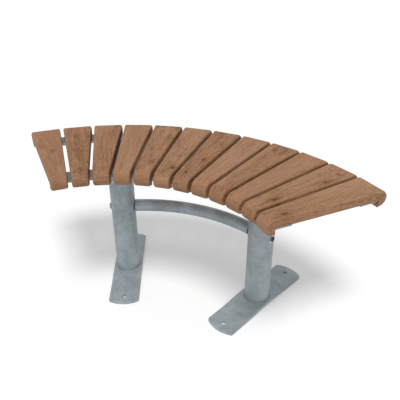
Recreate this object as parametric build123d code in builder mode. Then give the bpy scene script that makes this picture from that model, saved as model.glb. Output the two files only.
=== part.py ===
from build123d import *
import os
from math import cos, radians, sin, tan

# Curved bench, in millimetres. Tapered timber slats lie on two curved flat bars, which two round legs carry.
# X runs along the bench, Y points to the outer side of the curve and Z is up. The origin is on the ground,
# in the middle of the bench's box. Places in plan are polar about the centre of the curve, with angles in
# degrees from +Y towards +X.

# Seat
seat_height = 454.0
seat_outer_radius = 764.0
seat_depth = 354.0
seat_arc = 90.0
slat_count = 12
slat_gap = 10.0
slat_thickness = 26.0
slat_nose_height = 46.0
slat_lip_flat = 3.0
slat_edge_radius = 6.0

# Rails, curved flat bars between the lips of the slats
rail_width = 50.0
rail_thickness = 8.0
rail_lip_clearance = 1.0
rail_end_recess = 6.0

# Legs, straight tubes in the middle of the seat's depth, each under a gap some slats in from the end. The
# weld root is how far legs and welds are drawn below the top of a base plate, before the plate cuts them off.
leg_slats_from_end = 3
leg_diameter = 76.1
leg_wall = 3.6
weld_size = 3.0
weld_root = 2.0

# Base plates, flat bars with round ends that arch up between two level pads
base_length = 375.0
base_side_margin = 8.2
base_thickness = 8.0
base_arch = 8.0
base_pad_length = 45.0
base_end_rise = 13.0
base_corner_radius = 6.0
base_edge_radius = 1.0
anchor_hole_diameter = 12.0
anchor_hole_to_end = 30.0

# Head plates, under the rails on top of the legs
head_thickness = 8.0
head_arm_clearance = 3.5
head_pad_margin = 8.0
head_neck_radius = 20.0

# Stretcher, a bent tube between the legs
stretcher_height = 246.0
stretcher_diameter = 38.0
stretcher_wall = 3.0
stretcher_straight = 16.0
stretcher_leg_clearance = 0.2
plug_length = 12.0
plug_clearance = 0.1

# Stretcher bolts, with round heads and washers on the outer sides of the legs
bolt_diameter = 10.0
bolt_head_diameter = 17.5
bolt_head_height = 2.8
bolt_head_round = 1.6
bolt_socket_flats = 6.0
bolt_socket_depth = 3.0
bolt_engagement = 11.0
bolt_hole_clearance = 0.5
bolt_washer_diameter = 23.0
bolt_washer_thickness = 1.2
thread_clearance = 0.05

# Rail screws, countersunk into the rails, with washers and nuts under the head plates
rail_screw_diameter = 8.0
rail_screw_head_diameter = 16.0
rail_screw_spacing = 22.0
rail_screw_socket_flats = 5.0
rail_screw_socket_depth = 3.0
rail_screw_tail = 2.0
rail_screw_clearance = 0.5
rail_washer_diameter = 16.0
rail_washer_thickness = 1.6
rail_nut_flats = 13.0
rail_nut_height = 6.5

# Slat screws, from below through the rails into the slats
slat_screw_diameter = 6.0
slat_screw_head_diameter = 12.0
slat_screw_head_height = 3.5
slat_screw_head_round = 1.5
slat_screw_spacing = 24.0
slat_screw_cover = 5.0
slat_screw_tip_room = 1.0
slat_screw_clearance = 0.5
slat_screw_socket_flats = 4.0
slat_screw_socket_depth = 2.0

# Heights that follow from the sizes above
underside = seat_height - slat_thickness
lip_bottom = seat_height - slat_nose_height
rail_bottom = underside - rail_thickness
head_bottom = rail_bottom - head_thickness
base_crown = base_arch + base_thickness
leg_root = base_crown - weld_root
slat_screw_reach = slat_thickness - slat_screw_cover - slat_screw_tip_room

# Radii that follow from the sizes above
seat_inner_radius = seat_outer_radius - seat_depth
nose_radius = slat_nose_height / 2
outer_nose = seat_outer_radius - nose_radius
inner_nose = seat_inner_radius + nose_radius
outer_lip = outer_nose - slat_lip_flat
inner_lip = inner_nose + slat_lip_flat
front_rail_radius = inner_lip + rail_lip_clearance + rail_width / 2
rear_rail_radius = outer_lip - rail_lip_clearance - rail_width / 2
rail_radii = (front_rail_radius, rear_rail_radius)
leg_radius = seat_inner_radius + seat_depth / 2

# Angles that follow from the sizes above
slat_pitch = seat_arc / slat_count
half_pitch = radians(slat_pitch / 2)
first_slat_angle = (slat_pitch - seat_arc) / 2
slat_angles = [first_slat_angle + index * slat_pitch for index in range(slat_count)]
leg_angle = seat_arc / 2 - leg_slats_from_end * slat_pitch
leg_angles = {"left": -leg_angle, "right": leg_angle}

# Widths that follow from the sizes above
base_width = leg_diameter + 2 * base_side_margin
half_arch = base_length / 2 - base_pad_length
nearest_slat_screw = (front_rail_radius - slat_screw_spacing / 2) * sin(half_pitch)
head_arm_width = 2 * (nearest_slat_screw - slat_screw_head_diameter / 2 - head_arm_clearance)


def slat_reach(angle):
    """Lowest and highest Y of one slat's rounded corners, from the centre of the curve."""
    turn = radians(abs(angle))
    inner = seat_inner_radius + slat_edge_radius
    outer = seat_outer_radius - slat_edge_radius
    side = (slat_gap / 2 + slat_edge_radius) / cos(half_pitch)
    lowest = inner * cos(turn) - (inner * tan(half_pitch) - side) * sin(turn) - slat_edge_radius
    highest = outer * cos(turn) + (outer * tan(half_pitch) - side) * sin(turn) + slat_edge_radius
    return lowest, highest


slat_reaches = [slat_reach(angle) for angle in slat_angles]
seat_front = min(lowest for lowest, highest in slat_reaches)
seat_back = max(highest for lowest, highest in slat_reaches)
curve_centre_y = -(seat_front + seat_back) / 2


def outward(angle):
    """Direction away from the centre of the curve at an angle."""
    return Vector(sin(radians(angle)), cos(radians(angle)), 0)


def sideways(angle):
    """Level direction square to outward(angle), towards larger angles."""
    return Vector(cos(radians(angle)), -sin(radians(angle)), 0)


def level_plane(angle, height, radius=0):
    """Level plane at a radius from the centre of the curve, its x along outward(angle)."""
    origin = Vector(0, curve_centre_y, height) + outward(angle) * radius
    return Plane(origin=origin, x_dir=outward(angle), z_dir=(0, 0, 1))


def upright_plane(angle, radius=0):
    """Upright plane at a radius from the centre of the curve, its x along outward(angle) and its y up."""
    origin = Vector(0, curve_centre_y, 0) + outward(angle) * radius
    return Plane(origin=origin, x_dir=outward(angle), z_dir=sideways(angle))


def bolt_plane(angle):
    """Plane on a leg's axis at the stretcher's height, facing out of the bench along the bolt."""
    side = 1 if angle > 0 else -1
    origin = Vector(0, curve_centre_y, stretcher_height) + outward(angle) * leg_radius
    return Plane(origin=origin, x_dir=(0, 0, 1), z_dir=sideways(angle) * side)


def wedge_corners(half_angle, inset):
    """Corners of a wedge along x whose sides lie an inset inside lines at plus and minus half_angle."""
    apex = inset / sin(half_angle)
    far = 2 * seat_outer_radius
    return (apex, 0), (apex + far, far * tan(half_angle)), (apex + far, -far * tan(half_angle))


def draw_arched_line(height):
    """Draw one face of a base plate in side view: level at the ends and arched between them."""
    for side in (-1, 1):
        Line((side * base_length / 2, height), (side * half_arch, height))
        TangentArc(
            (side * half_arch, height),
            (side * half_arch / 2, height + base_arch / 2),
            tangent=(-side, 0),
        )
    ThreePointArc(
        (-half_arch / 2, height + base_arch / 2),
        (0, height + base_arch),
        (half_arch / 2, height + base_arch / 2),
    )


def draw_slat_screw_shapes(shape, rail_radius, **sizes):
    """Draw a shape at every slat screw of one rail, on a level plane at angle 0."""
    for radius in (rail_radius - slat_screw_spacing / 2, rail_radius + slat_screw_spacing / 2):
        with PolarLocations(radius, slat_count, start_angle=first_slat_angle, angular_range=seat_arc):
            shape(**sizes)


def draw_rail_screw_shapes(shape, rail_radius_list, **sizes):
    """Draw a shape at every rail screw of the given rails, on a level plane at angle 0."""
    turn = 2 * leg_angle
    for rail_radius in rail_radius_list:
        for radius in (rail_radius - rail_screw_spacing / 2, rail_radius + rail_screw_spacing / 2):
            with PolarLocations(radius, 2, start_angle=-leg_angle, angular_range=turn, endpoint=True):
                shape(**sizes)


os.makedirs("parts", exist_ok=True)

# Slats: one profile with a round nose and a lip at each end, cut to a taper by the gaps beside it
for number, angle in enumerate(slat_angles, start=1):
    with BuildPart() as slat:
        with BuildSketch(upright_plane(angle)):
            with BuildLine():
                Line((inner_nose, seat_height), (outer_nose, seat_height))
                ThreePointArc(
                    (outer_nose, seat_height),
                    (seat_outer_radius, seat_height - nose_radius),
                    (outer_nose, lip_bottom),
                )
                Polyline(
                    (outer_nose, lip_bottom),
                    (outer_lip, lip_bottom),
                    (outer_lip, underside),
                    (inner_lip, underside),
                    (inner_lip, lip_bottom),
                    (inner_nose, lip_bottom),
                )
                ThreePointArc(
                    (inner_nose, lip_bottom),
                    (seat_inner_radius, seat_height - nose_radius),
                    (inner_nose, seat_height),
                )
            make_face()
        extrude(amount=seat_outer_radius * tan(half_pitch), both=True)
        with BuildSketch(level_plane(angle, 0)):
            Polygon(*wedge_corners(half_pitch, slat_gap / 2), align=None)
        extrude(amount=seat_height, mode=Mode.INTERSECT)
        along = outward(angle)
        flanks = slat.faces().filter_by(
            lambda face: abs(face.normal_at().dot(along)) < 0.5 and abs(face.normal_at().Z) < 0.5
        )
        outer_edges = flanks.edges().filter_by(Axis.Z, reverse=True)
        outer_edges = outer_edges.filter_by(lambda edge: abs(edge.center().Z - underside) > 0.1)
        fillet(outer_edges, slat_edge_radius)
        with BuildSketch(level_plane(angle, underside)):
            for rail_radius in rail_radii:
                with Locations((rail_radius, 0)):
                    with GridLocations(slat_screw_spacing, 1, 2, 1):
                        Circle(slat_screw_diameter / 2 + thread_clearance)
        extrude(amount=slat_screw_reach + slat_screw_tip_room, mode=Mode.SUBTRACT)
    slat_name = f"slat_{number:02d}"
    slat.part.label = slat_name
    export_step(slat.part, f"parts/{slat_name}.step")

# Rails: ring sectors with square ends, drilled for the slat screws and countersunk over the legs
for rail_name, rail_radius in zip(("front_rail", "rear_rail"), rail_radii):
    with BuildPart() as rail:
        with BuildSketch(level_plane(0, rail_bottom)):
            Circle(rail_radius + rail_width / 2)
            Circle(rail_radius - rail_width / 2, mode=Mode.SUBTRACT)
            Polygon(
                *wedge_corners(radians(seat_arc / 2), slat_gap / 2 + rail_end_recess),
                align=None,
                mode=Mode.INTERSECT,
            )
        extrude(amount=rail_thickness)
        with BuildSketch(level_plane(0, rail_bottom)):
            hole_radius = slat_screw_diameter / 2 + slat_screw_clearance
            draw_slat_screw_shapes(Circle, rail_radius, radius=hole_radius)
        extrude(amount=rail_thickness, mode=Mode.SUBTRACT)
        with Locations(level_plane(0, underside)):
            draw_rail_screw_shapes(
                CounterSinkHole,
                [rail_radius],
                radius=rail_screw_diameter / 2 + rail_screw_clearance,
                counter_sink_radius=rail_screw_head_diameter / 2,
                depth=rail_thickness,
                counter_sink_angle=90,
            )
    rail.part.label = rail_name
    export_step(rail.part, f"parts/{rail_name}.step")

# Legs with their base plates, head plates and stretcher plugs
base_plates = []
head_plates = []
for side, angle in leg_angles.items():
    with BuildPart() as base_plate:
        with BuildSketch(upright_plane(angle, leg_radius)):
            with BuildLine():
                draw_arched_line(0)
                draw_arched_line(base_thickness)
                for end in (-base_length / 2, base_length / 2):
                    Line((end, 0), (end, base_thickness))
            make_face()
        extrude(amount=base_width, both=True)
        straight_end = base_length / 2 - base_end_rise
        with BuildSketch(level_plane(angle, 0, leg_radius)) as base_outline:
            with BuildLine():
                Line((-straight_end, -base_width / 2), (straight_end, -base_width / 2))
                ThreePointArc(
                    (straight_end, -base_width / 2),
                    (base_length / 2, 0),
                    (straight_end, base_width / 2),
                )
                Line((straight_end, base_width / 2), (-straight_end, base_width / 2))
                ThreePointArc(
                    (-straight_end, base_width / 2),
                    (-base_length / 2, 0),
                    (-straight_end, -base_width / 2),
                )
            make_face()
            fillet(base_outline.vertices(), base_corner_radius)
        extrude(amount=base_crown, mode=Mode.INTERSECT)
        tops = base_plate.faces().filter_by(lambda face: face.normal_at().Z > 0.5)
        rim = tops.edges().filter_by(Axis((0, 0, 0), sideways(angle)), reverse=True)
        fillet(rim, base_edge_radius)
        with BuildSketch(level_plane(angle, 0, leg_radius)):
            with GridLocations(base_length - 2 * anchor_hole_to_end, 1, 2, 1):
                Circle(anchor_hole_diameter / 2)
        extrude(amount=base_thickness, mode=Mode.SUBTRACT)
    base_plate.part.label = f"{side}_base_plate"
    export_step(base_plate.part, f"parts/{side}_base_plate.step")
    base_plates.append(base_plate.part)

    with BuildPart() as leg_tube:
        with BuildSketch(level_plane(angle, leg_root, leg_radius)):
            Circle(leg_diameter / 2)
            Circle(leg_diameter / 2 - leg_wall, mode=Mode.SUBTRACT)
        extrude(amount=head_bottom - leg_root)
        with BuildSketch(bolt_plane(angle)):
            Circle(bolt_diameter / 2 + bolt_hole_clearance)
        extrude(amount=leg_diameter, both=True, mode=Mode.SUBTRACT)
        add(base_plate.part, mode=Mode.SUBTRACT)
    leg_tube.part.label = f"{side}_leg_tube"
    export_step(leg_tube.part, f"parts/{side}_leg_tube.step")

    with BuildPart() as head_plate:
        head_start = front_rail_radius - rail_width / 2
        head_end = rear_rail_radius + rail_width / 2
        pad_radius = leg_diameter / 2 + head_pad_margin
        with BuildSketch(level_plane(angle, head_bottom, leg_radius)) as head_outline:
            with Locations(((head_start + head_end) / 2 - leg_radius, 0)):
                Rectangle(head_end - head_start, head_arm_width)
            Circle(pad_radius)
            necks = head_outline.vertices().group_by(lambda corner: corner.center().length)[0]
            fillet(necks, head_neck_radius)
        extrude(amount=head_thickness)
        with BuildSketch(level_plane(angle, head_bottom)):
            for rail_radius in rail_radii:
                with Locations((rail_radius, 0)):
                    with GridLocations(rail_screw_spacing, 1, 2, 1):
                        Circle(rail_screw_diameter / 2 + rail_screw_clearance)
        extrude(amount=head_thickness, mode=Mode.SUBTRACT)
    head_plate.part.label = f"{side}_head_plate"
    export_step(head_plate.part, f"parts/{side}_head_plate.step")
    head_plates.append(head_plate.part)

    with BuildPart() as stretcher_plug:
        plug_face = bolt_plane(angle).offset(-leg_diameter / 2 - stretcher_leg_clearance)
        with BuildSketch(plug_face):
            Circle(stretcher_diameter / 2 - stretcher_wall - plug_clearance)
            Circle(bolt_diameter / 2 + thread_clearance, mode=Mode.SUBTRACT)
        extrude(amount=-plug_length)
    stretcher_plug.part.label = f"{side}_stretcher_plug"
    export_step(stretcher_plug.part, f"parts/{side}_stretcher_plug.step")

# Welds: rings of triangular section round the ends of the legs, cut off by the plates
weld_seats = {"foot_welds": (base_crown, 1, base_plates), "head_welds": (head_bottom, -1, head_plates)}
for weld_name, (seat, rise, plates) in weld_seats.items():
    with BuildPart() as welds:
        for angle in leg_angles.values():
            skin = leg_radius + leg_diameter / 2
            leg_foot = Vector(0, curve_centre_y, 0) + outward(angle) * leg_radius
            with BuildSketch(upright_plane(angle)):
                Polygon(
                    (skin, seat + rise * weld_size),
                    (skin + weld_size + weld_root, seat - rise * weld_root),
                    (skin, seat - rise * weld_root),
                    align=None,
                )
            revolve(axis=Axis(leg_foot, (0, 0, 1)))
        for plate in plates:
            add(plate, mode=Mode.SUBTRACT)
    welds.part.label = weld_name
    export_step(welds.part, f"parts/{weld_name}.step")

# Stretcher: straight at both legs, with one bend that runs tangent into the straight ends
with BuildPart() as stretcher_tube:
    end_gap = leg_diameter / 2 + stretcher_leg_clearance
    left_face = bolt_plane(-leg_angle).offset(-end_gap)
    right_face = bolt_plane(leg_angle).offset(-end_gap)
    left_bend = left_face.origin - left_face.z_dir * stretcher_straight
    right_bend = right_face.origin - right_face.z_dir * stretcher_straight
    with BuildLine() as stretcher_path:
        Line(left_face.origin, left_bend)
        TangentArc(left_bend, right_bend, tangent=-left_face.z_dir)
        Line(right_bend, right_face.origin)
    with BuildSketch(left_face):
        Circle(stretcher_diameter / 2)
        Circle(stretcher_diameter / 2 - stretcher_wall, mode=Mode.SUBTRACT)
    sweep()
stretcher_tube.part.label = "stretcher_tube"
export_step(stretcher_tube.part, "parts/stretcher_tube.step")

# Stretcher bolts: round heads outside the legs, shanks through both walls into the plugs
with BuildPart() as stretcher_bolts:
    for angle in leg_angles.values():
        head_seat = bolt_plane(angle).offset(leg_diameter / 2 + bolt_washer_thickness)
        grip = bolt_washer_thickness + leg_diameter + stretcher_leg_clearance
        with BuildSketch(head_seat):
            Circle(bolt_head_diameter / 2)
        extrude(amount=bolt_head_height)
        crown = stretcher_bolts.faces().sort_by(lambda face: -face.center().dot(head_seat.z_dir))[0]
        fillet(crown.edges(), bolt_head_round)
        with BuildSketch(head_seat):
            Circle(bolt_diameter / 2)
        extrude(amount=-(grip + bolt_engagement))
        with BuildSketch(head_seat.offset(bolt_head_height)):
            RegularPolygon(bolt_socket_flats / 2, 6, major_radius=False)
        extrude(amount=-bolt_socket_depth, mode=Mode.SUBTRACT)
stretcher_bolts.part.label = "stretcher_bolts"
export_step(stretcher_bolts.part, "parts/stretcher_bolts.step")

with BuildPart() as stretcher_washers:
    for angle in leg_angles.values():
        with BuildSketch(bolt_plane(angle).offset(leg_diameter / 2)):
            Circle(bolt_washer_diameter / 2)
            Circle(bolt_diameter / 2 + bolt_hole_clearance, mode=Mode.SUBTRACT)
        extrude(amount=bolt_washer_thickness)
stretcher_washers.part.label = "stretcher_washers"
export_step(stretcher_washers.part, "parts/stretcher_washers.step")

# Rail screws: countersunk heads flush with the rails, washers and nuts under the head plates
rail_stack = rail_thickness + head_thickness + rail_washer_thickness + rail_nut_height
rail_head_height = (rail_screw_head_diameter - rail_screw_diameter) / 2
with BuildPart() as rail_screws:
    with BuildSketch(level_plane(0, underside - rail_stack - rail_screw_tail)):
        draw_rail_screw_shapes(Circle, rail_radii, radius=rail_screw_diameter / 2)
    extrude(amount=rail_stack + rail_screw_tail)
    with BuildSketch(level_plane(0, underside)):
        draw_rail_screw_shapes(Circle, rail_radii, radius=rail_screw_head_diameter / 2)
    extrude(amount=-rail_head_height, taper=45)
    with BuildSketch(level_plane(0, underside)):
        draw_rail_screw_shapes(
            RegularPolygon, rail_radii, radius=rail_screw_socket_flats / 2, side_count=6, major_radius=False
        )
    extrude(amount=-rail_screw_socket_depth, mode=Mode.SUBTRACT)
rail_screws.part.label = "rail_screws"
export_step(rail_screws.part, "parts/rail_screws.step")

with BuildPart() as rail_washers:
    with BuildSketch(level_plane(0, head_bottom)):
        draw_rail_screw_shapes(Circle, rail_radii, radius=rail_washer_diameter / 2)
        draw_rail_screw_shapes(
            Circle, rail_radii, radius=rail_screw_diameter / 2 + rail_screw_clearance, mode=Mode.SUBTRACT
        )
    extrude(amount=-rail_washer_thickness)
rail_washers.part.label = "rail_washers"
export_step(rail_washers.part, "parts/rail_washers.step")

with BuildPart() as rail_nuts:
    with BuildSketch(level_plane(0, head_bottom - rail_washer_thickness)):
        draw_rail_screw_shapes(
            RegularPolygon, rail_radii, radius=rail_nut_flats / 2, side_count=6, major_radius=False
        )
        draw_rail_screw_shapes(
            Circle, rail_radii, radius=rail_screw_diameter / 2 + thread_clearance, mode=Mode.SUBTRACT
        )
    extrude(amount=-rail_nut_height)
rail_nuts.part.label = "rail_nuts"
export_step(rail_nuts.part, "parts/rail_nuts.step")

# Slat screws: round heads under the rails
for screws_name, rail_radius in zip(("front_slat_screws", "rear_slat_screws"), rail_radii):
    with BuildPart() as slat_screws:
        with BuildSketch(level_plane(0, rail_bottom)):
            draw_slat_screw_shapes(Circle, rail_radius, radius=slat_screw_head_diameter / 2)
        extrude(amount=-slat_screw_head_height)
        crowns = slat_screws.edges().group_by(Axis.Z)[0]
        fillet(crowns, slat_screw_head_round)
        with BuildSketch(level_plane(0, rail_bottom)):
            draw_slat_screw_shapes(Circle, rail_radius, radius=slat_screw_diameter / 2)
        extrude(amount=rail_thickness + slat_screw_reach)
        with BuildSketch(level_plane(0, rail_bottom - slat_screw_head_height)):
            draw_slat_screw_shapes(
                RegularPolygon,
                rail_radius,
                radius=slat_screw_socket_flats / 2,
                side_count=6,
                major_radius=False,
            )
        extrude(amount=slat_screw_socket_depth, mode=Mode.SUBTRACT)
    slat_screws.part.label = screws_name
    export_step(slat_screws.part, f"parts/{screws_name}.step")
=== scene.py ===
"""Looks of a curved bench: tapered timber slats on a galvanised steel frame.

Everything is in metres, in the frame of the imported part: X along the bench, Y towards the outer side of the
curve, Z up, and the origin on the ground under the middle of the bench.
"""

import logging
import math
from collections.abc import Sequence
from dataclasses import dataclass, field
from enum import Enum

import bmesh
import bpy
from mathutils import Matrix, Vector, noise

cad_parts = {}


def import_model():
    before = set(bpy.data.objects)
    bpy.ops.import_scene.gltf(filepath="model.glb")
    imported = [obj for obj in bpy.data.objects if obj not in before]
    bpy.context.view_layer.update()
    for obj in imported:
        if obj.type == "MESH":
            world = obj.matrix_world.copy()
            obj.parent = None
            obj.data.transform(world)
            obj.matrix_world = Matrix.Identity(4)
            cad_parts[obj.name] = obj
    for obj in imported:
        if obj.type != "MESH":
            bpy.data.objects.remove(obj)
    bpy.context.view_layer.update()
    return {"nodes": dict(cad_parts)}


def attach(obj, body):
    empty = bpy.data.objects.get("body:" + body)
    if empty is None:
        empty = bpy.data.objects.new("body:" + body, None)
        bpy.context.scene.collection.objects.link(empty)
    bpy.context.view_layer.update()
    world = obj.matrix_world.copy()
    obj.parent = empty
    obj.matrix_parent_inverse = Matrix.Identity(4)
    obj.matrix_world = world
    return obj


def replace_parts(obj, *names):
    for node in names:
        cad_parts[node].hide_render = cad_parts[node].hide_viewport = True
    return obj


log = logging.getLogger("curved_bench")

Colour = tuple[float, float, float]
Place = tuple[float, float, float]
Scales = tuple[float, float, float]
Span = tuple[float, float]
Socket = bpy.types.NodeSocket
Value = float | Socket
Inputs = dict[str | int, Value | Sequence[float]]

WHITE: Colour = (1.0, 1.0, 1.0)


class Slot(Enum):
    """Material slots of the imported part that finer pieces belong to."""

    TIMBER = "timber"
    GALVANISED = "galvanised_steel"
    BRIGHT = "bright_steel"


class Calc(Enum):
    """Steps of arithmetic between two values."""

    ADD = "ADD"
    SUBTRACT = "SUBTRACT"
    MULTIPLY = "MULTIPLY"
    DIVIDE = "DIVIDE"
    POWER = "POWER"
    SINE = "SINE"
    SQRT = "SQRT"
    EXPONENT = "EXPONENT"
    MAXIMUM = "MAXIMUM"
    FRACTION = "FRACT"


@dataclass(frozen=True)
class Pattern:
    """A soft random pattern in a finish.

    The scales are patches per metre in each direction. The detail adds finer layers, and the distortion draws
    the patches out of shape. Weight, relief and rough say how much the pattern counts in tone, height and
    roughness. Where it marks the surface, it rises from nothing to full over its reach.
    """

    scales: Scales
    detail: float = 2.0
    distortion: float = 0.0
    weight: float = 0.0
    relief: float = 0.0
    rough: float = 0.0
    reach: Span = (0.0, 1.0)


class NodeBoard:
    """Adds and joins the nodes of one material or world."""

    def __init__(self, tree: bpy.types.NodeTree) -> None:
        """Start from an empty tree."""
        self.tree = tree
        tree.nodes.clear()

    def feed(self, socket: Socket, value: Value | Sequence[float]) -> None:
        """Join an output to an input, or set the input's own value.

        Args:
            socket: The input.
            value: An output socket, a plain value or a colour.
        """
        if isinstance(value, Socket):
            self.tree.links.new(value, socket)
        elif socket.type == "RGBA":
            socket.default_value = (*value, 1.0)
        else:
            socket.default_value = value

    def add(self, kind: str, inputs: Inputs | None = None, **settings: object) -> bpy.types.Node:
        """Add one node.

        Args:
            kind: Blender's name of the node type.
            inputs: What its inputs get, by the input's name or number.
            settings: Properties to set on the node.

        Returns:
            The new node.
        """
        node = self.tree.nodes.new(kind)
        for name, value in settings.items():
            setattr(node, name, value)
        for key, value in (inputs or {}).items():
            self.feed(node.inputs[key], value)
        return node

    def calc(self, step: Calc, first: Value, second: Value = 0.0) -> Socket:
        """Join two values by one step of arithmetic. Some steps ignore the second value."""
        return self.add("ShaderNodeMath", {0: first, 1: second}, operation=step.value).outputs[0]

    def total(self, base: Value, *parts: tuple[Value, float]) -> Value:
        """Add weighted parts to a value.

        Args:
            base: The value.
            parts: Each part with its weight, which is below 0 to take the part away.

        Returns:
            The sum.
        """
        for part, weight in parts:
            base = self.calc(Calc.ADD, base, self.calc(Calc.MULTIPLY, part, weight))
        return base

    def square_sum(self, first: Value, second: Value) -> Socket:
        """Add the squares of two values."""
        squares = [self.calc(Calc.MULTIPLY, value, value) for value in (first, second)]
        return self.calc(Calc.ADD, *squares)

    def fade(self, value: Value, low: float, high: float) -> Socket:
        """Rise smoothly from 0, where the value is low, to 1, where it is high."""
        inputs = {"Value": value, "From Min": low, "From Max": high}
        return self.add("ShaderNodeMapRange", inputs, interpolation_type="SMOOTHSTEP").outputs[0]

    def split(self, vector: Socket) -> tuple[Socket, ...]:
        """Give the three parts of a vector."""
        return tuple(self.add("ShaderNodeSeparateXYZ", {0: vector}).outputs)

    def vector(self, x: Value, y: Value, z: Value) -> Socket:
        """Make a vector of three values."""
        return self.add("ShaderNodeCombineXYZ", {0: x, 1: y, 2: z}).outputs[0]

    def place(self) -> Socket:
        """Give the place on the object, in metres in the part's frame."""
        return self.add("ShaderNodeTexCoord").outputs["Object"]

    def normal(self) -> Socket:
        """Give the direction that the surface looks in."""
        return self.add("ShaderNodeNewGeometry").outputs["Normal"]

    def carried(self, name: str) -> tuple[Socket, ...]:
        """Give the three parts of a vector that the mesh carries."""
        return self.split(self.add("ShaderNodeAttribute", attribute_name=name).outputs["Vector"])

    def cloud(self, place: Socket, pattern: Pattern) -> Socket:
        """Read a soft random pattern.

        Args:
            place: Where to read it.
            pattern: The pattern.

        Returns:
            A value about 0.5, mostly from 0.3 to 0.7.
        """
        stretched = self.add("ShaderNodeVectorMath", {0: place, 1: pattern.scales}, operation="MULTIPLY")
        inputs = {
            "Vector": stretched.outputs[0],
            "Scale": 1.0,
            "Detail": pattern.detail,
            "Distortion": pattern.distortion,
        }
        return self.add("ShaderNodeTexNoise", inputs).outputs[0]

    def marks(self, place: Socket, pattern: Pattern) -> Socket:
        """Read a soft random pattern as marks, from 0 to 1 over its reach."""
        return self.fade(self.cloud(place, pattern), *pattern.reach)

    def crystals(self, place: Socket, size: float) -> Socket:
        """Give one random value from 0 to 1 to each crystal of a size."""
        cells = self.add("ShaderNodeTexVoronoi", {"Vector": place, "Scale": 1.0 / size}, feature="F1")
        return self.add("ShaderNodeSeparateColor", {0: cells.outputs["Color"]}).outputs[0]

    def ramp(self, value: Value, *stops: tuple[float, Colour]) -> Socket:
        """Colour by value.

        Args:
            value: The value to look up.
            stops: Places from 0 to 1, each with its colour.

        Returns:
            The colour.
        """
        node = self.add("ShaderNodeValToRGB", {0: value})
        elements = node.color_ramp.elements
        while len(elements) < len(stops):
            elements.new(0.5)
        for element, (position, colour) in zip(elements, stops):
            element.position = position
            element.color = (*colour, 1.0)
        return node.outputs[0]

    def blend(self, share: Value, first: Socket | Colour, second: Socket | Colour) -> Socket:
        """Mix two colours by the share of the second one."""
        # Inputs 6 and 7 and output 2 are the node's sockets for colours.
        return self.add("ShaderNodeMix", {0: share, 6: first, 7: second}, data_type="RGBA").outputs[2]

    def shade(self, colour: Socket, factor: Value) -> Socket:
        """Multiply a colour by one factor."""
        return self.add("ShaderNodeVectorMath", {0: colour, "Scale": factor}, operation="SCALE").outputs[0]

    def relief(self, height: Value, depth: float) -> Socket:
        """Give the normal of small relief whose height changes by the depth from 0 to 1."""
        return self.add("ShaderNodeBump", {"Height": height, "Distance": depth}).outputs[0]

    def surface(self, inputs: Inputs) -> None:
        """End the material in one surface."""
        shader = self.add("ShaderNodeBsdfPrincipled", inputs)
        self.add("ShaderNodeOutputMaterial", {"Surface": shader.outputs[0]})


def new_material(name: str) -> tuple[bpy.types.Material, NodeBoard]:
    """Make an empty material.

    Args:
        name: The material's name.

    Returns:
        The material and the board for its nodes.
    """
    material = bpy.data.materials.new(name)
    material.use_nodes = True
    return material, NodeBoard(material.node_tree)


@dataclass(frozen=True)
class Grain:
    """What the patterns along a plank give at one spot."""

    drift: Socket
    streaks: Socket
    lines: Socket
    flecks: Socket
    rings: Socket


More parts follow.
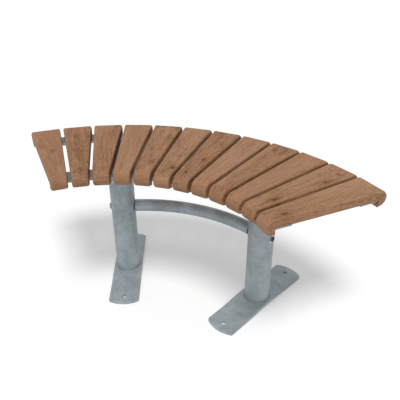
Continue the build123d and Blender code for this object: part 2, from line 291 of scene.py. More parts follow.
@dataclass(frozen=True)
class OiledTimber:
    """Planed and oiled timber, with its grain along each slat and end grain on the noses.

    Each slat carries the place in its plank, its batch, streakiness and end tone, its worn edges,
    which are lightened both as wear and as a painted highlight, how squarely a spot looks along the
    plank, its tone, and up to two knots. The scales of its patterns are along, across and up.
    """

    name: str = "oiled_timber"
    dark: Colour = (0.170, 0.076, 0.030)
    mid: Colour = (0.281, 0.143, 0.073)
    warm: Colour = (0.331, 0.179, 0.100)
    pale: Colour = (0.415, 0.238, 0.142)
    sawn: Colour = (0.281, 0.150, 0.080)
    stain: Colour = (0.112, 0.042, 0.011)
    knot: Colour = (0.084, 0.028, 0.006)
    drift: Pattern = Pattern((2.2, 9.0, 9.0), weight=0.5)
    streaks: Pattern = Pattern((7.0, 95.0, 95.0), 4.0, 0.4, weight=0.65, reach=(0.54, 0.74))
    lines: Pattern = Pattern((22.0, 400.0, 400.0), 3.0, weight=0.90, relief=0.7, rough=0.22)
    flecks: Pattern = Pattern((95.0, 330.0, 330.0), weight=0.95, reach=(0.46, 0.53))
    dashes: Pattern = Pattern((48.0, 330.0, 330.0), relief=-0.3, reach=(0.48, 0.62))
    patches: Pattern = Pattern((9.0, 28.0, 28.0), 3.0, 0.6, reach=(0.46, 0.64))
    end_lines: Pattern = Pattern((26.0, 520.0, 3.0), 3.0, 0.3)
    batch_shift: float = 1.37
    middle_tone: float = 0.33
    plain_contrast: float = 0.74
    figure_contrast: float = 0.30
    ring_width: float = 0.0052
    ring_wander: float = 9.0
    ring_rise: float = 2.5
    ring_weight: float = -0.10
    ring_relief: float = -0.3
    pith_side: float = 0.11
    pith_spread: float = 0.06
    pith_height: float = 0.36
    knot_stretch: float = 1.9
    knot_pull: float = 0.75
    halo_fall: float = 0.30
    core_fall: float = 1.6
    core_relief: float = -0.5
    end_reach: Span = (0.64, 0.74)
    end_share: float = 0.75
    dash_share: float = 0.85
    band_share: float = 0.40
    halo_share: float = 0.95
    core_share: float = 0.30
    wear_and_highlight_share: float = 0.20
    rough: float = 0.48
    relief_depth: float = 0.00022

    def knots(self, board: NodeBoard, along: Socket, across: Socket) -> tuple[Value, Value, Value]:
        """Bend the grain round the knots.

        Args:
            board: The material's board.
            along: The place along the plank.
            across: The place across it.

        Returns:
            The bent place across, the share of the knots' cores and the share of their surroundings.
        """
        core: Value = 0.0
        halo: Value = 0.0
        bent = across
        for name in ("knot_1", "knot_2"):
            knot_along, knot_across, knot_size = board.carried(name)
            offset = board.calc(Calc.SUBTRACT, across, knot_across)
            side = board.calc(Calc.DIVIDE, offset, knot_size)
            reach = board.calc(Calc.DIVIDE, board.calc(Calc.SUBTRACT, along, knot_along), knot_size)
            square = board.square_sum(side, board.calc(Calc.DIVIDE, reach, self.knot_stretch))
            near = board.calc(Calc.EXPONENT, board.calc(Calc.MULTIPLY, square, -self.halo_fall))
            pull = board.calc(Calc.MULTIPLY, board.calc(Calc.MULTIPLY, near, self.knot_pull), offset)
            bent = board.calc(Calc.SUBTRACT, bent, pull)
            inner = board.calc(Calc.EXPONENT, board.calc(Calc.MULTIPLY, square, -self.core_fall))
            core = board.calc(Calc.MAXIMUM, core, inner)
            halo = board.calc(Calc.MAXIMUM, halo, near)
        return bent, core, halo

    def rings(self, board: NodeBoard, across: Value, height: Value, shift: Value, drift: Value) -> Socket:
        """Growth rings about a pith beside and below the plank.

        Args:
            board: The material's board.
            across: The place across the plank.
            height: The place up.
            shift: What sets this plank apart.
            drift: How the rings wander along the plank.

        Returns:
            A value that rises from 0 to 1 over each ring.
        """
        pith = board.total(self.pith_side, (board.calc(Calc.SINE, shift), self.pith_spread))
        sideways = board.calc(Calc.ADD, across, pith)
        upwards = board.calc(Calc.SUBTRACT, height, self.pith_height)
        away = board.calc(Calc.SQRT, board.square_sum(sideways, upwards))
        phase = board.total(board.calc(Calc.DIVIDE, away, self.ring_width), (drift, self.ring_wander))
        return board.calc(Calc.POWER, board.calc(Calc.FRACTION, phase), self.ring_rise)

    def planed(self, board: NodeBoard, grain: Grain, figure: Value, tone: Value) -> Socket:
        """Colour of the planed sides.

        Args:
            board: The material's board.
            grain: The patterns along the plank.
            figure: How streaky the plank is.
            tone: How pale it is.

        Returns:
            The colour.
        """
        swing: Value = 0.0
        for pattern, weight in (
            (grain.streaks, self.streaks.weight),
            (grain.lines, self.lines.weight),
            (grain.flecks, self.flecks.weight),
        ):
            swing = board.total(swing, (board.calc(Calc.SUBTRACT, pattern, 0.5), weight))
        contrast = board.total(self.plain_contrast, (figure, self.figure_contrast))
        value = board.calc(Calc.MULTIPLY, swing, contrast)
        value = board.total(value, (grain.drift, self.drift.weight), (grain.rings, self.ring_weight))
        value = board.calc(Calc.ADD, value, board.calc(Calc.ADD, tone, self.middle_tone))
        return board.ramp(value, (0.15, self.dark), (0.42, self.mid), (0.58, self.warm), (0.85, self.pale))

    def material(self) -> bpy.types.Material:
        """Make the timber's material.

        Returns:
            The material.
        """
        material, board = new_material(self.name)
        along, across, height = board.carried("plank")
        batch, figure, end_tone = board.carried("timber")
        worn, end, tone = board.carried("bare")
        bent, core, halo = self.knots(board, along, across)

        shift = board.calc(Calc.MULTIPLY, batch, self.batch_shift)
        place = board.vector(board.calc(Calc.ADD, along, shift), bent, board.calc(Calc.ADD, height, shift))
        drift = board.cloud(place, self.drift)
        grain = Grain(
            drift=drift,
            streaks=board.cloud(place, self.streaks),
            lines=board.cloud(place, self.lines),
            flecks=board.cloud(place, self.flecks),
            rings=self.rings(board, bent, height, shift, drift),
        )
        colour = self.planed(board, grain, figure, tone)

        end_lines = board.cloud(board.vector(across, height, shift), self.end_lines)
        end_value = board.calc(Calc.ADD, end_lines, end_tone)
        end_colour = board.ramp(end_value, (0.05, self.dark), (0.40, self.sawn), (0.74, self.pale))
        clusters = board.calc(Calc.MULTIPLY, board.marks(place, self.patches), figure)
        dashes = board.calc(Calc.MULTIPLY, board.marks(place, self.dashes), clusters)
        bands = board.calc(Calc.MULTIPLY, board.fade(grain.streaks, *self.streaks.reach), clusters)
        ragged = board.calc(Calc.MULTIPLY, halo, board.fade(grain.flecks, *self.flecks.reach))
        for share, strength, cover in (
            (board.fade(end, *self.end_reach), self.end_share, end_colour),
            (dashes, self.dash_share, self.stain),
            (bands, self.band_share, self.stain),
            (ragged, self.halo_share, self.stain),
            (core, self.core_share, self.knot),
            # Worn edges turn pale, partly as wear and partly as a painted highlight along the rounded edges.
            (worn, self.wear_and_highlight_share, self.pale),
        ):
            colour = board.blend(board.calc(Calc.MULTIPLY, share, strength), colour, cover)

        relief = board.total(
            0.0,
            (grain.lines, self.lines.relief),
            (grain.rings, self.ring_relief),
            (core, self.core_relief),
            (dashes, self.dashes.relief),
        )
        board.surface({
            "Base Color": colour,
            "Roughness": board.total(self.rough, (grain.lines, self.lines.rough)),
            "Normal": board.relief(relief, self.relief_depth),
            "IOR": 1.45,
            "Specular IOR Level": 0.10,
        })
        return material


@dataclass(frozen=True)
class GalvanisedSteel:
    """Steel dipped in zinc: dull, bluish, with soft patches and faint crystals.

    Near the ground it can be painted lighter, as painted light where less of the seat's shade falls. What
    looks up is painted lighter for a gain above 0 and darker for one below, as painted light and painted
    shade under the slats and seat.
    """

    name: str = "galvanised_zinc"
    deep: Colour = (0.268, 0.304, 0.332)
    even: Colour = (0.328, 0.372, 0.402)
    light: Colour = (0.392, 0.450, 0.470)
    patches: Pattern = Pattern((16.0, 16.0, 16.0), 4.0, 0.5, weight=0.55, relief=0.6)
    mottle: Pattern = Pattern((62.0, 62.0, 62.0), 3.0, 0.3, weight=0.34, relief=0.3, rough=0.18)
    runs: Pattern = Pattern((70.0, 70.0, 9.0), weight=0.14)
    specks: Pattern = Pattern((900.0, 900.0, 900.0), 1.0, weight=-0.10, reach=(0.62, 0.75))
    crystal_size: float = 0.007
    crystal_weight: float = 0.07
    crystal_relief: float = 0.03
    crystal_rough: float = 0.06
    metal: float = 0.42
    rough: float = 0.42
    relief_depth: float = 0.0006
    tint: float = 1.0
    foot_height: float = 0.16
    painted_foot_light: float = 0.0
    painted_upper_shading: float = 0.0
    upper_reach: Span = (0.5, 0.9)

    def colour(self, board: NodeBoard, place: Socket, tone: Value) -> Socket:
        """Colour of the zinc.

        Args:
            board: The material's board.
            place: The place on the steel.
            tone: How pale its patterns make it.

        Returns:
            The colour.
        """
        # Painted light: lighter towards the ground, where less of the seat's shade falls.
        if self.painted_foot_light != 0.0:
            foot = board.fade(board.split(place)[2], self.foot_height, 0.0)
            tone = board.total(tone, (foot, self.painted_foot_light))
        colour = board.ramp(tone, (0.40, self.deep), (0.53, self.even), (0.67, self.light))
        if self.tint != 1.0:
            colour = board.shade(colour, self.tint)
        # Painted light and shade on what looks up: lighter for a gain above 0, darker for one below.
        if self.painted_upper_shading != 0.0:
            upward = board.fade(board.split(board.normal())[2], *self.upper_reach)
            colour = board.shade(colour, board.total(1.0, (upward, self.painted_upper_shading)))
        return colour

    def material(self) -> bpy.types.Material:
        """Make the zinc's material.

        Returns:
            The material.
        """
        material, board = new_material(self.name)
        place = board.place()
        patches = board.cloud(place, self.patches)
        mottle = board.cloud(place, self.mottle)
        crystals = board.crystals(place, self.crystal_size)
        tone = board.total(
            0.0,
            (patches, self.patches.weight),
            (mottle, self.mottle.weight),
            (board.cloud(place, self.runs), self.runs.weight),
            (crystals, self.crystal_weight),
            (board.marks(place, self.specks), self.specks.weight),
        )
        relief = board.total(
            0.0,
            (patches, self.patches.relief),
            (mottle, self.mottle.relief),
            (crystals, self.crystal_relief),
        )
        board.surface({
            "Base Color": self.colour(board, place, tone),
            "Metallic": self.metal,
            "Roughness": board.total(self.rough, (mottle, self.mottle.rough), (crystals, self.crystal_rough)),
            "Normal": board.relief(relief, self.relief_depth),
        })
        return material


@dataclass(frozen=True)
class FastenerSteel:
    """Turned steel of a fastener, with faint tool marks and handling wear."""

    name: str
    base: Colour
    worn: Colour
    rough: float
    smears: Pattern = Pattern((240.0, 240.0, 240.0), 3.0, reach=(0.45, 0.72))
    tool_marks: Pattern = Pattern((300.0, 300.0, 2600.0), 1.0, rough=0.16)
    relief_depth: float = 0.00004

    def material(self) -> bpy.types.Material:
        """Make the fastener's material.

        Returns:
            The material.
        """
        material, board = new_material(self.name)
        place = board.place()
        tool_marks = board.cloud(place, self.tool_marks)
        board.surface({
            "Base Color": board.blend(board.marks(place, self.smears), self.base, self.worn),
            "Metallic": 1.0,
            "Roughness": board.total(self.rough, (tool_marks, self.tool_marks.rough)),
            "Normal": board.relief(tool_marks, self.relief_depth),
        })
        return material


@dataclass(frozen=True)
class Curve:
    """The curve that the bench follows in plan."""

    centre_y: float = -0.530481
    arc: float = math.radians(90.0)
    slat_count: int = 12
    leg_angle: float = math.radians(22.5)
    leg_distance: float = 0.587

    @property
    def pitch(self) -> float:
        """Angle from one slat to the next."""
        return self.arc / self.slat_count

    @property
    def middle(self) -> Vector:
        """Centre of the curve on the ground."""
        return Vector((0.0, self.centre_y, 0.0))

    def slat_angle(self, index: int) -> float:
        """Angle of one slat's middle, from +Y towards +X."""
        return (index + 0.5) * self.pitch - self.arc / 2

    def point(self, angle: float, along: float, across: float, height: float) -> Vector:
        """Place in the part's frame.

        Args:
            angle: Angle of the line that the place is measured on.
            along: Distance from the centre of the curve along that line.
            across: Distance square to it, towards larger angles.
            height: Height over the ground.

        Returns:
            The place.
        """
        x = along * math.sin(angle) + across * math.cos(angle)
        y = self.centre_y + along * math.cos(angle) - across * math.sin(angle)
        return Vector((x, y, height))

    def leg_foot(self, side: int, height: float) -> Vector:
        """Place on the axis of the left (-1) or right (1) leg."""
        return self.point(side * self.leg_angle, self.leg_distance, 0.0, height)


@dataclass
class Shell:
    """Corners and faces of a piece while it is made."""

    vertices: list[Vector] = field(default_factory=list)
    faces: list[list[int]] = field(default_factory=list)

    def add_ring(self, sections: Sequence[Sequence[Vector]], closed: bool = True) -> None:
        """Join sections to a ring, the last one to the first.

        Args:
            sections: The sections in order, each with as many corners as the others.
            closed: Whether each section is a loop too.
        """
        start = len(self.vertices)
        width = len(sections[0])
        for index, section in enumerate(sections):
            self.vertices += section
            here = start + index * width
            after = start + (index + 1) % len(sections) * width
            for step in range(width if closed else width - 1):
                across = (step + 1) % width
                self.faces.append([here + step, here + across, after + across, after + step])

    def piece(self, name: str, slot: Slot) -> bpy.types.Object:
        """Make the smooth closed mesh, which rides with the bench.

        Args:
            name: The piece's name.
            slot: The material slot that it belongs to. Not used.

        Returns:
            The piece.
        """
        mesh = bpy.data.meshes.new(name)
        mesh.from_pydata(self.vertices, [], self.faces)
        sorter = bmesh.new()
        sorter.from_mesh(mesh)
        bmesh.ops.recalc_face_normals(sorter, faces=sorter.faces)
        sorter.to_mesh(mesh)
        sorter.free()
        mesh.polygons.foreach_set("use_smooth", [True] * len(mesh.polygons))
        piece = bpy.data.objects.new(name, mesh)
        bpy.context.scene.collection.objects.link(piece)
        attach(piece, "root")
        log.info("%s: %d faces", name, len(mesh.polygons))
        return piece


def carry(piece: bpy.types.Object, name: str, values: Sequence[float]) -> None:
    """Store one vector per corner on a piece's mesh, under a name and from a flat list."""
    attribute = piece.data.attributes.new(name, "FLOAT_VECTOR", "POINT")
    attribute.data.foreach_set("vector", values)


@dataclass(frozen=True)
class Knot:
    """A knot in a slat: its place along and across the slat, and its half width."""

    along: float
    across: float
    size: float


NO_KNOT = Knot(0.0, 0.0, 0.0001)


@dataclass(frozen=True)
class Plank:
    """The timber of one slat: its tone along the top and on the end grain, its streakiness, and its knots."""

    inner_tone: float
    outer_tone: float
    end_tone: float
    figure: float
    first: Knot = NO_KNOT
    second: Knot = NO_KNOT


@dataclass(frozen=True)
class Row:
    """A row of corners along a slat.

    On the flat, its side is the place across, from -1 to 1. On a rounded edge, its side is -1 or 1, and its
    turn goes from 0 at the slat's side to a quarter turn at the flat.
    """

    side: float
    turn: float | None = None

    @property
    def drop(self) -> float:
        """How far the row lies below the flat, as a share of the rounding."""
        return 0.0 if self.turn is None else 1.0 - math.sin(self.turn)

    @property
    def inset(self) -> float:
        """How far the row lies in from the slat's side, as a share of the rounding."""
        return 1.0 if self.turn is None else 1.0 - math.cos(self.turn)

    @property
    def worn(self) -> float:
        """Wear and painted highlight of the row: most in the middle of the rounded edge."""
        return 0.0 if self.turn is None else math.sin(2.0 * self.turn) ** 0.5


@dataclass
class SlatSeat:
    """The seat: tapered slats with round noses, lips over the rails and rounded long edges."""

    curve: Curve
    outer_radius: float = 0.7636
    depth: float = 0.3533
    top: float = 0.454
    thickness: float = 0.026
    nose_height: float = 0.046
    lip_flat: float = 0.003
    gap: float = 0.010
    edge_radius: float = 0.006
    eased_radius: float = 0.0003
    stations: int = 84
    nose_steps: int = 12
    round_steps: int = 6
    width_steps: int = 22
    straight_limit: float = 1e-6
    relief: float = 0.00010
    relief_scales: Scales = (14.0, 210.0, 90.0)
    relief_batch: float = 3.1
    flat_weight: int = 100
    planks: tuple[Plank, ...] = (
        Plank(-0.01, 0.00, 0.01, 0.35, Knot(0.620, -0.028, 0.0050), Knot(0.582, 0.005, 0.0036)),
        Plank(-0.13, -0.14, -0.04, 1.10, Knot(0.672, -0.006, 0.0038), Knot(0.441, 0.002, 0.0042)),
        Plank(-0.07, -0.06, -0.05, 0.70),
        Plank(0.11, 0.07, -0.06, 0.10),
        Plank(0.07, 0.06, -0.03, 0.90, Knot(0.485, 0.012, 0.0060), Knot(0.655, 0.027, 0.0055)),
        Plank(0.00, 0.12, 0.14, 0.55, Knot(0.466, 0.015, 0.0062)),
        Plank(-0.07, -0.02, -0.02, 1.20, Knot(0.455, -0.002, 0.0055), Knot(0.545, 0.012, 0.0046)),
        Plank(0.065, 0.075, -0.03, 0.10),
        Plank(-0.06, -0.01, -0.01, 0.70, Knot(0.706, -0.012, 0.0034)),
        Plank(0.08, -0.02, -0.03, 0.10),
        Plank(0.09, 0.10, -0.02, 0.75, Knot(0.485, 0.013, 0.0060), Knot(0.655, 0.027, 0.0055)),
        Plank(0.00, 0.11, 0.18, 0.60, Knot(0.467, 0.015, 0.0064)),
    )

    def half_width(self, along: float) -> float:
        """Half the width of a slat at a distance from the centre of the curve."""
        half = self.curve.pitch / 2
        return along * math.tan(half) - self.gap / 2 / math.cos(half)

    def outline(self) -> tuple[list[Span], list[float]]:
        """Side view of a slat, along and up, clockwise from the inner end of its top.

        Returns:
            The corners, and the rounding of the edge that follows each corner.
        """
        nose = self.nose_height / 2
        inner = self.outer_radius - self.depth + nose
        outer = self.outer_radius - nose
        low = self.top - self.nose_height
        under = self.top - self.thickness
        inner_lip = inner + self.lip_flat
        outer_lip = outer - self.lip_flat
        deck = [inner_lip + (outer_lip - inner_lip) * i / self.stations for i in range(self.stations + 1)]
        turns = [math.pi * i / (2 * self.nose_steps) for i in range(1, 2 * self.nose_steps)]

        corners = [(inner, self.top)]
        corners += [(along, self.top) for along in deck]
        corners += [(outer, self.top)]
        middle = low + nose
        corners += [(outer + nose * math.sin(turn), middle + nose * math.cos(turn)) for turn in turns]
        corners += [(outer, low)]
        rounding = [self.edge_radius] * len(corners)
        lower = [(outer_lip, low)] + [(along, under) for along in reversed(deck)] + [(inner_lip, low)]
        corners += lower
        rounding += [self.eased_radius] * (len(lower) - 1) + [self.edge_radius]
        corners += [(inner, low)]
        corners += [(inner - nose * math.sin(turn), middle - nose * math.cos(turn)) for turn in turns]
        rounding += [self.edge_radius] * (1 + len(turns))
        return corners, rounding

    def insets(self, corners: list[Span], rounding: list[float]) -> list[Vector]:
        """How far each corner moves in where the sides are rounded off.

        Args:
            corners: The corners of the side view.
            rounding: The rounding of the edge after each corner.

        Returns:
            One move per corner, along and up.
        """
        moves = []
        for i, here in enumerate(corners):
            before = corners[i - 1]
            after = corners[(i + 1) % len(corners)]
            normals = []
            for start, end in ((before, here), (here, after)):
                length = math.dist(start, end)
                normals.append(((end[1] - start[1]) / length, (start[0] - end[0]) / length))
            (ax, az), (bx, bz) = normals
            a, b = rounding[i - 1], rounding[i]
            # Each edge moves in by its own rounding, and the corner goes to where the two then meet.
            cross = ax * bz - az * bx
            if abs(cross) < self.straight_limit:
                moves.append(Vector((ax * (a + b) / 2, az * (a + b) / 2)))
            else:
                moves.append(Vector(((a * bz - b * az) / cross, (b * ax - a * bx) / cross)))
        return moves

    def flank(self, total: int) -> list[list[int]]:
        """Faces of one side of a slat, as rows of upright faces from nose to nose.

        Args:
            total: How many corners the side view has.

        Returns:
            The faces, as places in the side view.
        """
        # The side view lists the top, the outer nose, the underside and the inner nose.
        tops = self.stations + 3
        nose = 2 * self.nose_steps - 1
        lip = tops + nose + 1
        upper = list(range(tops))
        lower = [total - nose - 1, total - nose - 2]
        lower += list(range(total - nose - 3, lip - 1, -1))
        faces = []
        tip = self.nose_steps
        outer_nose = list(range(tops - 1, lip))
        inner_nose = list(range(total - nose - 1, total)) + [0]
        for chain in (outer_nose, inner_nose):
            for step in range(tip - 1):
                faces.append([chain[step], chain[step + 1], chain[-2 - step], chain[-1 - step]])
            faces.append([chain[tip - 1], chain[tip], chain[tip + 1]])
        faces.append([upper[0], upper[1], lower[2], lower[1], lower[0]])
        for step in range(1, tops - 2):
            faces.append([upper[step], upper[step + 1], lower[step + 2], lower[step + 1]])
        faces.append([upper[-2], upper[-1], lip - 1, lip, lip + 1])
        return faces

    def rows(self) -> list[Row]:
        """Rows of corners across a slat: a rounded edge, the flat and the other rounded edge.

        Returns:
            The rows, from the left side to the right.
        """
        turns = [math.pi / 2 * step / self.round_steps for step in range(self.round_steps + 1)]
        left = [Row(-1, turn) for turn in turns]
        flat = [Row(step / self.width_steps * 2 - 1) for step in range(1, self.width_steps)]
        right = [Row(1, turn) for turn in reversed(turns)]
        return left + flat + right

    def spot(self, corner: Span, inward: Vector, radius: float, row: Row, batch: int) -> Place:
        """Place of one corner on a slat, sunk a little by the relief of the grain.

        Args:
            corner: The corner of the side view, along and up.
            inward: How far it moves in where the side is rounded off.
            radius: The rounding there.
            row: The row that the corner lies in.
            batch: What sets this slat apart.

        Returns:
            The place along, across and up.
        """
        along = corner[0] + inward.x * row.drop
        height = corner[1] + inward.y * row.drop
        across = (self.half_width(along) - radius * row.inset) * row.side
        if row.turn is None and inward.length > 0.0:
            scale_along, scale_across, scale_up = self.relief_scales
            shift = batch * self.relief_batch
            place = Vector((along * scale_along + shift, across * scale_across, height * scale_up))
            sink = self.relief * (0.5 + 0.5 * noise.noise(place))
            along += inward.x / inward.length * sink
            height += inward.y / inward.length * sink
        return along, across, height

    def build_slat(self, index: int) -> bpy.types.Object:
        """Make one slat.

        Args:
            index: Its place from the left end, from 0.

        Returns:
            The slat.
        """
        angle = self.curve.slat_angle(index)
        timber = self.planks[index]
        corners, rounding = self.outline()
        moves = self.insets(corners, rounding)
        rows = self.rows()
        nose = self.nose_height / 2
        sections: list[list[Vector]] = []
        plank: list[float] = []
        bare: list[float] = []
        for i, corner in enumerate(corners):
            radius = min(rounding[i - 1], rounding[i])
            reach = (corner[0] - self.outer_radius + self.depth) / self.depth
            overhang = max(nose - reach * self.depth, nose - (1.0 - reach) * self.depth, 0.0)
            tone = timber.inner_tone + (timber.outer_tone - timber.inner_tone) * reach
            spots = [self.spot(corner, moves[i], radius, row, index) for row in rows]
            sections.append([self.curve.point(angle, *spot) for spot in spots])
            for row, spot in zip(rows, spots):
                plank += spot
                bare += (row.worn, overhang / nose * (1.0 - row.drop), tone)

        shell = Shell()
        shell.add_ring(sections, closed=False)
        width = len(rows)
        for face in self.flank(len(corners)):
            shell.faces.append([corner * width for corner in face])
            shell.faces.append([corner * width + width - 1 for corner in face])
        name = f"slat_{index + 1:02d}"
        piece = shell.piece(f"timber_{name}", Slot.TIMBER)
        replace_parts(piece, name)
        carry(piece, "plank", plank)
        carry(piece, "bare", bare)
        count = len(shell.vertices)
        carry(piece, "timber", [index + 1.0, timber.figure, timber.end_tone] * count)
        for knot_name, knot in (("knot_1", timber.first), ("knot_2", timber.second)):
            carry(piece, knot_name, [knot.along, knot.across, knot.size] * count)
        keep_flat = piece.modifiers.new("flat_sides", "WEIGHTED_NORMAL")
        keep_flat.weight = self.flat_weight
        return piece

    def build(self) -> list[bpy.types.Object]:
        """Make all slats, from the left end to the right."""
        return [self.build_slat(index) for index in range(self.curve.slat_count)]

    def dress(self, slats: Sequence[bpy.types.Object], timber: bpy.types.Material) -> None:
        """Give the slats their timber."""
        for slat in slats:
            slat.data.materials.append(timber)


@dataclass(frozen=True)
class SteelFinishes:
    """The finishes of the steel frame."""

    plates: GalvanisedSteel = GalvanisedSteel()
    # Legs: painted light, lighter towards the ground.
    legs: GalvanisedSteel = GalvanisedSteel(name="leg_zinc_painted_foot_light", painted_foot_light=0.20)
    # Rails and head plates: painted shade on their tops, under the slats.
    rails: GalvanisedSteel = GalvanisedSteel(name="rail_zinc_painted_top_shade", painted_upper_shading=-0.40)
    # Stretcher: painted light on its upper side, under the seat.
    stretcher: GalvanisedSteel = GalvanisedSteel(name="stretcher_zinc_painted_top_light", tint=0.93, painted_upper_shading=0.36)
    # Weld zinc: darker, partly as the seam's own colour and partly as painted shade in the creases at the
    # legs.
    welds: GalvanisedSteel = GalvanisedSteel(name="weld_zinc_and_crease_shade", tint=0.64)
    screws: FastenerSteel = FastenerSteel("zinc_plate", (0.40, 0.41, 0.42), (0.30, 0.30, 0.30), 0.34)
    washers: FastenerSteel = FastenerSteel("polished_zinc", (0.82, 0.82, 0.81), (0.66, 0.66, 0.65), 0.30)
    bolts: FastenerSteel = FastenerSteel("black_steel", (0.055, 0.055, 0.058), (0.10, 0.10, 0.10), 0.38)


@dataclass
class SteelFrame:
    """The welded and bolted steel: rails, legs, plates, stretcher, welds and fasteners.

    The flatness of a weld bead is 1 for a quarter round and 2 for a straight slope.
    """

    curve: Curve
    finishes: SteelFinishes = SteelFinishes()
    tube_radius: float = 0.03805
    weld_size: float = 0.003
    weld_ripples: int = 88
    weld_wander: float = 0.07
    wander_scale: float = 3.0
    wander_batch: float = 20.0
    ripple_steps: int = 5
    ripple_depth: float = 0.10
    bead_steps: int = 7
    bead_flatness: float = 1.25
    base_crown: float = 0.016
    arch_radius: float = 0.6366
    head_bottom: float = 0.412
    rail_radii: Span = (0.462, 0.712)
    rail_screw_spacing: float = 0.022
    nut_flats: float = 0.013
    nut_height: float = 0.0065
    nut_bore: float = 0.00405
    nut_bore_flare: float = 1.12
    nut_face: float = 0.95
    nut_chamfer: float = math.radians(30.0)
    nut_top: float = 0.4104
    nut_turn: float = 40.0
    nut_sides: int = 6
    nut_steps: int = 8
    crisp_angle: float = math.radians(28.0)

    def fall(self, side: int, spot: Vector) -> float:
        """How far the arched base plate lies below its crown, at a spot from the leg's axis."""
        along = spot.dot(self.curve.point(side * self.curve.leg_angle, 1.0, 0.0, 0.0) - self.curve.middle)
        return along * along / (2.0 * self.arch_radius)

    def bead(self) -> list[Span]:
        """Section of a weld bead, out and up as shares of its size, with the corner under it last.

        Returns:
            The corners of the section.
        """
        leans = [math.pi / 2 * step / self.bead_steps for step in range(self.bead_steps + 1)]
        power = self.bead_flatness
        return [(math.cos(lean) ** power, math.sin(lean) ** power) for lean in leans] + [(0.0, 0.0)]

    def weld(self, side: int, seat: float, rise: float) -> list[list[Vector]]:
        """Shape one weld bead of overlapping ripples round a leg.

        Args:
            side: -1 for the left leg, 1 for the right leg.
            seat: Height of the plate that the bead lies on.
            rise: 1 where the leg stands on the plate, -1 where the plate lies on the leg.

        Returns:
            The bead's sections round the leg.
        """
        foot = self.curve.leg_foot(side, seat)
        bead = self.bead()
        batch = seat * self.wander_batch + side
        rings = self.weld_ripples * self.ripple_steps
        sections = []
        for ring in range(rings):
            turn = 2.0 * math.pi * ring / rings
            outward = Vector((math.cos(turn), math.sin(turn), 0.0))
            place = Vector((math.cos(turn) * self.wander_scale, math.sin(turn) * self.wander_scale, batch))
            wander = self.weld_wander * (noise.noise(place) - 1.0)
            saw = ring % self.ripple_steps / self.ripple_steps
            size = self.weld_size * (1.0 - self.ripple_depth * saw * saw + wander)
            section = []
            for reach, climb in bead:
                spot = outward * (self.tube_radius + size * reach)
                fall = self.fall(side, spot) if rise > 0.0 else 0.0
                section.append(foot + spot + Vector((0.0, 0.0, size * climb * rise - fall)))
            sections.append(section)
        return sections

    def build_welds(self, name: str, seat: float, rise: float) -> bpy.types.Object:
        """Make the beads of both legs at one plate.

        Args:
            name: The node that the beads stand for.
            seat: Height of the plates' faces.
            rise: Which way the beads climb.

        Returns:
            The beads.
        """
        shell = Shell()
        for side in (-1, 1):
            shell.add_ring(self.weld(side, seat, rise))
        piece = shell.piece(f"rippled_{name}", Slot.GALVANISED)
        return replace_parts(piece, name)

    def nut(self, middle: Vector, turn: float) -> list[list[Vector]]:
        """Shape one hexagon nut with chamfered corners and bore.

        Args:
            middle: The middle of its upper face.
            turn: How far it is turned.

        Returns:
            The nut's sections round its bore.
        """
        half = self.nut_flats / 2
        face_radius = half * self.nut_face
        bore_edge = self.nut_bore * self.nut_bore_flare
        lip = bore_edge - self.nut_bore
        sector = 2.0 * math.pi / self.nut_sides
        count = self.nut_sides * self.nut_steps
        sections = []
        for i in range(count):
            angle = 2.0 * math.pi * i / count
            rim = half / math.cos((angle % sector) - sector / 2)
            drop = (rim - face_radius) * math.tan(self.nut_chamfer)
            outline = (
                (self.nut_bore, lip),
                (bore_edge, 0.0),
                (face_radius, 0.0),
                (rim, drop),
                (rim, self.nut_height - drop),
                (face_radius, self.nut_height),
                (bore_edge, self.nut_height),
                (self.nut_bore, self.nut_height - lip),
            )
            outward = Vector((math.cos(angle + turn), math.sin(angle + turn), 0.0))
            sections.append([middle + outward * reach - Vector((0.0, 0.0, low)) for reach, low in outline])
        return sections

    def build_nuts(self) -> bpy.types.Object:
        """Make the nuts under the head plates.

        Returns:
            The nuts.
        """
        shell = Shell()
        for side in (-1, 1):
            for rail_radius in self.rail_radii:
                for offset in (-0.5, 0.5):
                    along = rail_radius + offset * self.rail_screw_spacing
                    middle = self.curve.point(side * self.curve.leg_angle, along, 0.0, self.nut_top)
                    shell.add_ring(self.nut(middle, along * self.nut_turn + side))
        piece = shell.piece("chamfered_rail_nuts", Slot.BRIGHT)
        sharp = piece.modifiers.new("crisp_edges", "EDGE_SPLIT")
        sharp.split_angle = self.crisp_angle
        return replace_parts(piece, "rail_nuts")

    def build(self) -> tuple[list[bpy.types.Object], bpy.types.Object]:
        """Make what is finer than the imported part.

        Returns:
            The weld beads, foot and head, and the nuts.
        """
        beads = [
            self.build_welds("foot_welds", self.base_crown, 1.0),
            self.build_welds("head_welds", self.head_bottom, -1.0),
        ]
        return beads, self.build_nuts()

    def dress(
        self,
        nodes: dict[str, bpy.types.Object],
        beads: Sequence[bpy.types.Object],
        nuts: bpy.types.Object,
    ) -> None:
        """Give the steel its finishes.

        Args:
            nodes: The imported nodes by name.
            beads: The weld beads.
            nuts: The nuts.
        """
        finishes = self.finishes
        carried = {
            finishes.plates: (
                "left_base_plate",
                "right_base_plate",
                "left_stretcher_plug",
                "right_stretcher_plug",
            ),
            finishes.legs: ("left_leg_tube", "right_leg_tube"),
            finishes.stretcher: ("stretcher_tube",),
            finishes.rails: ("front_rail", "rear_rail", "left_head_plate", "right_head_plate"),
            finishes.screws: ("rail_screws", "rail_washers", "front_slat_screws", "rear_slat_screws"),
            finishes.washers: ("stretcher_washers",),
            finishes.bolts: ("stretcher_bolts",),
        }
        made = {finish: finish.material() for finish in carried}
        for finish, names in carried.items():
            for name in names:
                nodes[name].data.materials[0] = made[finish]
                log.info("%s: %s", name, finish.name)
        weld_zinc_and_crease_shade = finishes.welds.material()
        for bead in beads:
            bead.data.materials.append(weld_zinc_and_crease_shade)
        nuts.data.materials.append(made[finishes.screws])


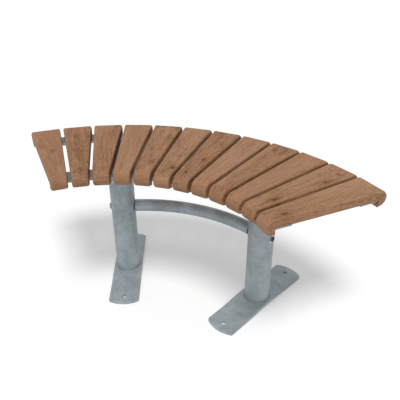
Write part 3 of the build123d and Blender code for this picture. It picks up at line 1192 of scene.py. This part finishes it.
@dataclass
class Studio:
    """Pale floor, soft light and the camera."""

    camera_place: Place = (0.46925, -1.13971, 1.05319)
    camera_turn: float = math.radians(20.655)
    camera_tilt: float = math.radians(30.79)
    lens: float = 43.917
    sensor_width: float = 36.0
    key_place: Place = (1.48, -4.30, 10.92)
    key_size: float = 3.75
    key_power: float = 802.0
    sky_strength: float = 0.45
    floor_size: float = 30.0
    floor_colour: Colour = (0.865, 0.865, 0.865)
    floor_glow: float = 0.215
    far_glow: float = 0.25
    glow_reach: Span = (0.8, 5.0)

    def seen(self, board: NodeBoard) -> Socket:
        """Tell the rays that show a surface, directly, in gloss or through glass, from the rest.

        Args:
            board: The board of the floor or the sky.

        Returns:
            1 for a ray that shows the surface, 0 for the rest.
        """
        rays = board.add("ShaderNodeLightPath").outputs
        seen = board.calc(Calc.MAXIMUM, rays["Is Camera Ray"], rays["Is Glossy Ray"])
        return board.calc(Calc.MAXIMUM, seen, rays["Is Transmission Ray"])

    def floor_finish(self) -> bpy.types.Material:
        """Make the floor's material, which glows more far from the bench, where the key light falls off.

        Returns:
            The material.
        """
        material, board = new_material("pale_floor")
        matt = board.add("ShaderNodeBsdfDiffuse", {"Color": self.floor_colour})
        away = board.add("ShaderNodeVectorMath", {0: board.place()}, operation="LENGTH").outputs["Value"]
        level = board.total(self.floor_glow, (board.fade(away, *self.glow_reach), self.far_glow))
        strength = board.calc(Calc.MULTIPLY, self.seen(board), level)
        glow = board.add("ShaderNodeEmission", {"Strength": strength})
        both = board.add("ShaderNodeAddShader", {0: matt.outputs[0], 1: glow.outputs[0]})
        board.add("ShaderNodeOutputMaterial", {"Surface": both.outputs[0]})
        return material

    def build_floor(self) -> None:
        """Lay the floor."""
        half = self.floor_size / 2
        mesh = bpy.data.meshes.new("floor")
        corners = [(-half, -half, 0.0), (half, -half, 0.0), (half, half, 0.0), (-half, half, 0.0)]
        mesh.from_pydata(corners, [], [(0, 1, 2, 3)])
        mesh.materials.append(self.floor_finish())
        floor = bpy.data.objects.new("floor", mesh)
        bpy.context.scene.collection.objects.link(floor)

    def stand(self, data: bpy.types.ID, place: Place, back: Vector) -> bpy.types.Object:
        """Put a lamp or camera into the scene.

        Args:
            data: The lamp or camera.
            place: Where it stands.
            back: The direction behind it, away from what it looks at.

        Returns:
            The object that holds it.
        """
        holder = bpy.data.objects.new(data.name, data)
        holder.location = place
        holder.rotation_mode = "QUATERNION"
        holder.rotation_quaternion = back.to_track_quat("Z", "Y")
        bpy.context.scene.collection.objects.link(holder)
        return holder

    def build_key(self) -> None:
        """Hang the soft key light."""
        lamp = bpy.data.lights.new("key", "AREA")
        lamp.shape = "DISK"
        lamp.size = self.key_size
        lamp.energy = self.key_power
        self.stand(lamp, self.key_place, Vector(self.key_place))

    def build_sky(self) -> None:
        """Light the bench evenly from all sides, and show white behind it."""
        world = bpy.data.worlds.new("white_studio")
        world.use_nodes = True
        board = NodeBoard(world.node_tree)
        sky = board.add("ShaderNodeBackground", {"Color": WHITE, "Strength": self.sky_strength})
        white = board.add("ShaderNodeBackground", {"Color": WHITE})
        mix = board.add("ShaderNodeMixShader", {0: self.seen(board), 1: sky.outputs[0], 2: white.outputs[0]})
        board.add("ShaderNodeOutputWorld", {"Surface": mix.outputs[0]})
        bpy.context.scene.world = world

    def build_camera(self) -> None:
        """Stand the camera where the photograph was taken from."""
        back = Vector((
            math.sin(self.camera_turn) * math.cos(self.camera_tilt),
            -math.cos(self.camera_turn) * math.cos(self.camera_tilt),
            math.sin(self.camera_tilt),
        ))
        camera = bpy.data.cameras.new("camera")
        camera.lens = self.lens
        camera.sensor_width = self.sensor_width
        bpy.context.scene.camera = self.stand(camera, self.camera_place, back)

    def build(self) -> None:
        """Set up floor, light and camera."""
        self.build_floor()
        self.build_key()
        self.build_sky()
        self.build_camera()
        bpy.context.scene.view_settings.view_transform = "Standard"


def main() -> None:
    """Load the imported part, build what is finer than it, dress all and light it."""
    logging.basicConfig(level=logging.INFO, format="%(message)s")
    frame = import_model()
    curve = Curve()

    seat = SlatSeat(curve)
    seat.dress(seat.build(), OiledTimber().material())

    steel = SteelFrame(curve)
    beads, nuts = steel.build()
    steel.dress(frame["nodes"], beads, nuts)

    Studio().build()


if __name__ == "__main__":
    main()
